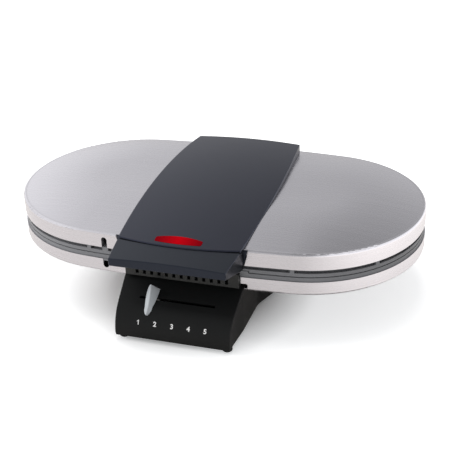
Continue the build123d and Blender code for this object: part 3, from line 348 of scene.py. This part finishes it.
def print_number(digit, across):
    """One digit as a thin raised print that follows the panel."""
    outline = flagged_one() if digit == "1" else plain_digit(digit)
    outline.extrude = 1.0
    letter = bpy.data.objects.new("digit_outline_" + digit, outline)
    bpy.context.scene.collection.objects.link(letter)
    bpy.context.view_layer.update()
    mesh = bpy.data.meshes.new_from_object(letter.evaluated_get(bpy.context.evaluated_depsgraph_get()))
    bpy.data.objects.remove(letter)
    for vertex in mesh.vertices:
        lift = number_thickness if vertex.co.z > 0 else -number_thickness
        vertex.co = on_panel(across * millimetre + vertex.co.x, vertex.co.y, lift)
    mesh.materials.clear()
    mesh.materials.append(finishes["number_print"])
    piece = bpy.data.objects.new("number_" + digit, mesh)
    bpy.context.scene.collection.objects.link(piece)
    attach(piece, "stand")


# Studio

floor_reach = 6
# Glow of the floor for the camera: weaker near the iron, a painted shadow that deepens the real shadow there
floor_lift_under_iron = 0.05
floor_lift_around = 0.58
painted_shadow_middle = (-0.022, -0.035, 0)
painted_shadow_fades_from = 0.076
painted_shadow_fades_to = 0.134
# Light painted on the floor that only shiny surfaces show: a faint even glow, rising to a painted pool of light
# towards the right
painted_floor_light_in_steel = 0.05
painted_pool_in_steel = 0.9
painted_pool_from_x = 0.12
painted_pool_to_x = 0.42

# Strength of the surround by the x of its direction: at the first x, at the second x, and these two x
surround_low_down = (1.15, 0.66, -0.6, -0.28)
surround_high_up = (1.12, 0.36, -0.6, -0.12)
surround_added_at_right = (0.0, 0.9, 0.25, 0.45)
surround_on_dull_faces = (0.74, 0.42, -0.7, 0.7)
high_up_from_z = 0.25
high_up_to_z = 0.75


def make_floor():
    """Wide pale floor with the iron's shadow, deepened by a painted shadow the camera sees near the iron; a painted
    pool of light at the right and a warmer colour show only in the steel.
    """
    mesh = bpy.data.meshes.new("floor")
    form = bmesh.new()
    bmesh.ops.create_grid(form, x_segments=1, y_segments=1, size=floor_reach)
    form.to_mesh(mesh)
    form.free()
    floor = bpy.data.objects.new("floor", mesh)
    bpy.context.scene.collection.objects.link(floor)
    material, tree, shader = new_finish("studio_floor", Roughness=0.9)
    shader.inputs["Specular IOR Level"].default_value = 0.1
    spot = add(tree, "TexCoord").outputs["Object"]
    place = add(tree, "SeparateXYZ", {0: spot})
    pool = between(tree, place.outputs[0], painted_floor_light_in_steel, painted_pool_in_steel, painted_pool_from_x, painted_pool_to_x)
    # Painted shadow: the camera sees less glow on the floor close to the iron
    far = add(tree, "VectorMath", {0: spot, 1: painted_shadow_middle}, operation="DISTANCE").outputs["Value"]
    lift = between(tree, far, floor_lift_under_iron, floor_lift_around, painted_shadow_fades_from, painted_shadow_fades_to)
    path = add(tree, "LightPath")
    seen = maths(tree, "MULTIPLY", path.outputs["Is Camera Ray"], lift)
    # Painted pool of light, seen only in reflections
    mirrored = maths(tree, "MULTIPLY", path.outputs["Is Glossy Ray"], pool)
    tree.links.new(maths(tree, "ADD", seen, mirrored), shader.inputs["Emission Strength"])
    # Painted warm reflection: the floor's colour is warmer where shiny surfaces reflect it
    paper = blend_colours(tree, path.outputs["Is Glossy Ray"], (0.87, 0.862, 0.855, 1), (0.86, 0.825, 0.79, 1))
    tree.links.new(paper, shader.inputs["Base Color"])
    # The floor's glow is warm in reflections and white for the camera
    white = blend_colours(tree, path.outputs["Is Camera Ray"], (1, 0.96, 0.92, 1), (0.97, 0.99, 1, 1))
    tree.links.new(white, shader.inputs["Emission Color"])
    mesh.materials.append(material)


def make_world():
    """Studio surround: plain white for the camera, and uneven where surfaces mirror it."""
    world = bpy.data.worlds.new("studio")
    bpy.context.scene.world = world
    world.use_nodes = True
    tree = world.node_tree
    shade = tree.nodes["Background"]
    way = add(tree, "SeparateXYZ", {0: add(tree, "TexCoord").outputs["Generated"]})
    low_down = between(tree, way.outputs[0], *surround_low_down)
    high_up = between(tree, way.outputs[0], *surround_high_up)
    upward = between(tree, way.outputs[2], 0.0, 1.0, high_up_from_z, high_up_to_z)
    mirrored = add(tree, "Mix", {0: upward, 2: low_down, 3: high_up}).outputs[0]
    mirrored = maths(tree, "ADD", mirrored, between(tree, way.outputs[0], *surround_added_at_right))
    dull = between(tree, way.outputs[0], *surround_on_dull_faces)
    path = add(tree, "LightPath")
    level = add(tree, "Mix", {0: path.outputs["Is Glossy Ray"], 2: dull, 3: mirrored}).outputs[0]
    level = add(tree, "Mix", {0: path.outputs["Is Camera Ray"], 2: level, 3: 1.0}).outputs[0]
    tree.links.new(level, shade.inputs["Strength"])
    shade.inputs["Color"].default_value = (0.985, 0.985, 1, 1)


lamp_target = Vector((0, 0, 0.05))


def soft_light(name, place, size, power):
    """Square soft box that looks at the iron, and that shiny surfaces don't show."""
    data = bpy.data.lights.new(name, "AREA")
    data.shape = "SQUARE"
    data.size = size
    data.energy = power
    lamp = bpy.data.objects.new(name, data)
    bpy.context.scene.collection.objects.link(lamp)
    lamp.location = place
    lamp.rotation_euler = (lamp_target - Vector(place)).to_track_quat("-Z", "Y").to_euler()
    lamp.visible_glossy = False


place_camera()
dress_nodes()
for digit, across in number_places.items():
    print_number(digit, across)
make_floor()
make_world()
soft_light("overhead", (-0.1, 0.3, 1.6), 0.8, 9.0)
soft_light("left", (-1.4, -0.5, 0.7), 0.6, 11.0)

bpy.context.scene.view_settings.view_transform = "Standard"
